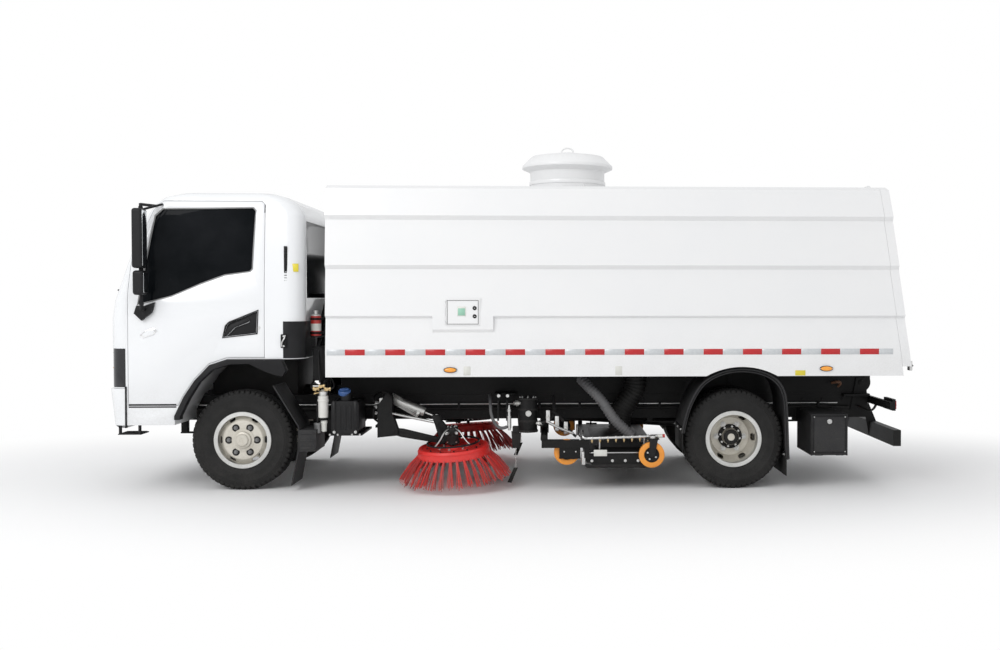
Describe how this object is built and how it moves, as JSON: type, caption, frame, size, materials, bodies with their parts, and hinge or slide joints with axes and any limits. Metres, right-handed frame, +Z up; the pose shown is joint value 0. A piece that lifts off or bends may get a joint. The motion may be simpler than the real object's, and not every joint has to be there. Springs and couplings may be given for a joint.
{
  "type": "street sweeper truck",
  "caption": "Compact street sweeper truck: tilting cab, tipping debris container with stepped walls, side brushes on parallelogram arms, castored suction nozzle.",
  "frame": {"origin": "on the ground below the middle of the whole truck, in its lengthwise centre plane", "axes": "-X towards the cab, -Y towards the left side of the truck, +Z up"},
  "size_m": [6.2269, 2.3542, 2.74],
  "materials": {
    "chassis_black": "satin",
    "cab_white": "gloss",
    "box_white": "satin",
    "glass_dark": "gloss",
    "trim_black": "satin",
    "guard_grey": "matte",
    "seat_fabric": "matte",
    "tyre": "matte",
    "rim_silver": "satin",
    "brush_red": "satin",
    "castor_orange": "satin",
    "steel": "satin",
    "aluminium": "satin",
    "engine_iron": "matte",
    "hose_rubber": "matte",
    "lamp_clear": "gloss"
  },
  "bodies": {
    "chassis": {"frame": "chassis_black", "running_gear": "chassis_black", "powertrain": "engine_iron", "guards": "guard_grey", "side_tanks": "trim_black", "equipment_rack": "chassis_black", "tool_box": "guard_grey", "suction_nozzle": "chassis_black", "suction_hose": "hose_rubber", "wash_bar": "steel", "rear_guard": "chassis_black"},
    "tool_door": {"tool_box_door": "guard_grey"},
    "cab": {"cab_shell": "cab_white", "cab_glass": "glass_dark", "bumper": "cab_white", "cab_trim": "trim_black", "headlamps": "lamp_clear", "dashboard": "trim_black", "seats": "seat_fabric"},
    "container_body": {"container": "box_white", "roof_outlet": "box_white"},
    "hatch_lid": {"hatch": "box_white"},
    "rear_gate": {"tailgate": "box_white"},
    "ram_barrel": {"tip_barrel": "chassis_black"},
    "ram_stage_1": {"tip_stage_1": "steel"},
    "ram_stage_2": {"tip_stage_2": "steel"},
    "cab_door_left": {"door_left": "cab_white", "door_glass_left": "glass_dark", "mirror_left": "trim_black"},
    "knuckle_body_left": {"knuckle_left": "chassis_black"},
    "front_wheel_left": {"front_tyre_left": "tyre", "front_rim_left": "rim_silver"},
    "rear_wheel_left": {"rear_tyres_left": "tyre", "rear_rims_left": "rim_silver"},
    "turret_body_left": {"brush_turret_left": "chassis_black"},
    "arm_body_left": {"brush_arm_left": "chassis_black"},
    "rod_body_left": {"brush_rod_left": "steel"},
    "head_body_left": {"brush_head_left": "chassis_black"},
    "brush_body_left": {"brush_left": "brush_red"},
    "lift_barrel_left": {"brush_ram_left": "aluminium"},
    "lift_rod_left": {"brush_ram_rod_left": "steel"},
    "front_castor_wheel_left": {"front_castor_left": "castor_orange"},
    "rear_castor_wheel_left": {"rear_castor_left": "castor_orange"},
    "cab_door_right": {"door_right": "cab_white", "door_glass_right": "glass_dark", "mirror_right": "trim_black"},
    "knuckle_body_right": {"knuckle_right": "chassis_black"},
    "front_wheel_right": {"front_tyre_right": "tyre", "front_rim_right": "rim_silver"},
    "rear_wheel_right": {"rear_tyres_right": "tyre", "rear_rims_right": "rim_silver"},
    "turret_body_right": {"brush_turret_right": "chassis_black"},
    "arm_body_right": {"brush_arm_right": "chassis_black"},
    "rod_body_right": {"brush_rod_right": "steel"},
    "head_body_right": {"brush_head_right": "chassis_black"},
    "brush_body_right": {"brush_right": "brush_red"},
    "lift_barrel_right": {"brush_ram_right": "aluminium"},
    "lift_rod_right": {"brush_ram_rod_right": "steel"},
    "front_castor_wheel_right": {"front_castor_right": "castor_orange"},
    "rear_castor_wheel_right": {"rear_castor_right": "castor_orange"}
  },
  "joints": [
    {"name": "cab_tilt", "type": "hinge", "parent": "chassis", "child": "cab", "pos_m": [-2.965, 0, 0.59], "axis": [0, -1, 0], "range_deg": [0, 45]},
    {"name": "tool_door_hinge", "type": "hinge", "parent": "chassis", "child": "tool_door", "pos_m": [2.51, -0.911, 0.257], "axis": [1, 0, 0], "range_deg": [0, 90]},
    {"name": "container_tip", "type": "hinge", "parent": "chassis", "child": "container_body", "pos_m": [2.9, 0, 0.79], "axis": [0, 1, 0], "range_deg": [0, 40]},
    {"name": "gate_hinge", "type": "hinge", "parent": "container_body", "child": "rear_gate", "pos_m": [2.886, 0, 2.377], "axis": [0, -1, 0], "range_deg": [0, 75]},
    {"name": "hatch_hinge", "type": "hinge", "parent": "container_body", "child": "hatch_lid", "pos_m": [-0.479, -1.054, 1.38], "axis": [0, 0, -1], "range_deg": [0, 110]},
    {"name": "tip_ram_hinge", "type": "hinge", "parent": "chassis", "child": "ram_barrel", "pos_m": [2.02501, 0, 0.42], "axis": [0, 1, 0], "range_deg": [-0.5, 20.5]},
    {"name": "tip_stage_1_slide", "type": "slide", "parent": "ram_barrel", "child": "ram_stage_1", "axis": [-0.1572, 0, 0.9876], "range_m": [-0.002, 0.3037]},
    {"name": "tip_stage_2_slide", "type": "slide", "parent": "ram_stage_1", "child": "ram_stage_2", "axis": [-0.1572, 0, 0.9876], "range_m": [-0.002, 0.3037]},
    {"name": "door_hinge_left", "type": "hinge", "parent": "cab", "child": "cab_door_left", "pos_m": [-2.888, -0.949, 1.4], "axis": [0, 0, -1], "range_deg": [0, 68]},
    {"name": "steer_left", "type": "hinge", "parent": "chassis", "child": "knuckle_body_left", "pos_m": [-2.065, -0.65, 0.3875], "axis": [0, 0, 1], "range_deg": [-32, 32]},
    {"name": "front_spin_left", "type": "hinge", "parent": "knuckle_body_left", "child": "front_wheel_left", "pos_m": [-2.065, -0.755, 0.3875], "axis": [0, 1, 0], "continuous": true},
    {"name": "rear_spin_left", "type": "hinge", "parent": "chassis", "child": "rear_wheel_left", "pos_m": [1.75, -0.714, 0.3875], "axis": [0, 1, 0], "continuous": true},
    {"name": "brush_swing_left", "type": "hinge", "parent": "chassis", "child": "turret_body_left", "pos_m": [-1.01, -0.62, 0.555], "axis": [0, 0, -1], "range_deg": [0, 22]},
    {"name": "brush_lift_left", "type": "hinge", "parent": "turret_body_left", "child": "arm_body_left", "pos_m": [-0.907, -0.74, 0.44], "axis": [0, -1, 0], "range_deg": [-1.5, 14.5]},
    {"name": "brush_rod_hinge_left", "type": "hinge", "parent": "turret_body_left", "child": "rod_body_left", "pos_m": [-0.95, -0.74, 0.585], "axis": [0, -1, 0], "range_deg": [-2, 15]},
    {"name": "brush_head_hinge_left", "type": "hinge", "parent": "arm_body_left", "child": "head_body_left", "pos_m": [-0.523, -0.74, 0.36], "axis": [0, -1, 0], "range_deg": [-15, 2]},
    {"name": "brush_spin_left", "type": "hinge", "parent": "head_body_left", "child": "brush_body_left", "pos_m": [-0.441, -0.78, 0.299], "axis": [-0.0608, -0.0818, 0.9948], "continuous": true},
    {"name": "brush_ram_hinge_left", "type": "hinge", "parent": "turret_body_left", "child": "lift_barrel_left", "pos_m": [-0.95, -0.662, 0.695], "axis": [0, -1, 0], "range_deg": [-2, 15.01]},
    {"name": "brush_ram_slide_left", "type": "slide", "parent": "lift_barrel_left", "child": "lift_rod_left", "axis": [0.9228, 0, -0.3853], "range_m": [-0.0199, 0.003]},
    {"name": "front_castor_spin_left", "type": "hinge", "parent": "chassis", "child": "front_castor_wheel_left", "pos_m": [0.446, -0.904, 0.292], "axis": [0, 1, 0], "continuous": true},
    {"name": "rear_castor_spin_left", "type": "hinge", "parent": "chassis", "child": "rear_castor_wheel_left", "pos_m": [1.102, -0.972, 0.276], "axis": [0, 1, 0], "continuous": true},
    {"name": "door_hinge_right", "type": "hinge", "parent": "cab", "child": "cab_door_right", "pos_m": [-2.888, 0.949, 1.4], "axis": [0, 0, 1], "range_deg": [0, 68]},
    {"name": "steer_right", "type": "hinge", "parent": "chassis", "child": "knuckle_body_right", "pos_m": [-2.065, 0.65, 0.3875], "axis": [0, 0, 1], "range_deg": [-32, 32]},
    {"name": "front_spin_right", "type": "hinge", "parent": "knuckle_body_right", "child": "front_wheel_right", "pos_m": [-2.065, 0.755, 0.3875], "axis": [0, 1, 0], "continuous": true},
    {"name": "rear_spin_right", "type": "hinge", "parent": "chassis", "child": "rear_wheel_right", "pos_m": [1.75, 0.714, 0.3875], "axis": [0, 1, 0], "continuous": true},
    {"name": "brush_swing_right", "type": "hinge", "parent": "chassis", "child": "turret_body_right", "pos_m": [-1.01, 0.62, 0.555], "axis": [0, 0, 1], "range_deg": [0, 22]},
    {"name": "brush_lift_right", "type": "hinge", "parent": "turret_body_right", "child": "arm_body_right", "pos_m": [-0.907, 0.74, 0.44], "axis": [0, -1, 0], "range_deg": [-1.5, 14.5]},
    {"name": "brush_rod_hinge_right", "type": "hinge", "parent": "turret_body_right", "child": "rod_body_right", "pos_m": [-0.95, 0.74, 0.585], "axis": [0, -1, 0], "range_deg": [-2, 15]},
    {"name": "brush_head_hinge_right", "type": "hinge", "parent": "arm_body_right", "child": "head_body_right", "pos_m": [-0.523, 0.74, 0.36], "axis": [0, -1, 0], "range_deg": [-15, 2]},
    {"name": "brush_spin_right", "type": "hinge", "parent": "head_body_right", "child": "brush_body_right", "pos_m": [-0.441, 0.78, 0.299], "axis": [-0.0608, 0.0818, 0.9948], "continuous": true},
    {"name": "brush_ram_hinge_right", "type": "hinge", "parent": "turret_body_right", "child": "lift_barrel_right", "pos_m": [-0.95, 0.662, 0.695], "axis": [0, -1, 0], "range_deg": [-2, 15.01]},
    {"name": "brush_ram_slide_right", "type": "slide", "parent": "lift_barrel_right", "child": "lift_rod_right", "axis": [0.9228, 0, -0.3853], "range_m": [-0.0199, 0.003]},
    {"name": "front_castor_spin_right", "type": "hinge", "parent": "chassis", "child": "front_castor_wheel_right", "pos_m": [0.446, 0.904, 0.292], "axis": [0, 1, 0], "continuous": true},
    {"name": "rear_castor_spin_right", "type": "hinge", "parent": "chassis", "child": "rear_castor_wheel_right", "pos_m": [1.102, 0.972, 0.276], "axis": [0, 1, 0], "continuous": true}
  ],
  "couplings": [
    {"joint": "tip_ram_hinge", "follows": "container_tip", "ratio": 0.5},
    {"joint": "tip_stage_1_slide", "follows": "container_tip", "m_per_rad": 0.43215},
    {"joint": "tip_stage_2_slide", "follows": "container_tip", "m_per_rad": 0.43215},
    {"joint": "brush_rod_hinge_left", "follows": "brush_lift_left", "ratio": 1},
    {"joint": "brush_head_hinge_left", "follows": "brush_lift_left", "ratio": -1},
    {"joint": "brush_ram_hinge_left", "follows": "brush_lift_left", "ratio": 1.0004},
    {"joint": "brush_ram_slide_left", "follows": "brush_lift_left", "m_per_rad": -0.074527},
    {"joint": "brush_rod_hinge_right", "follows": "brush_lift_right", "ratio": 1},
    {"joint": "brush_head_hinge_right", "follows": "brush_lift_right", "ratio": -1},
    {"joint": "brush_ram_hinge_right", "follows": "brush_lift_right", "ratio": 1.0004},
    {"joint": "brush_ram_slide_right", "follows": "brush_lift_right", "m_per_rad": -0.074527},
    {"joint": "steer_right", "follows": "steer_left", "ratio": 1}
  ]
}
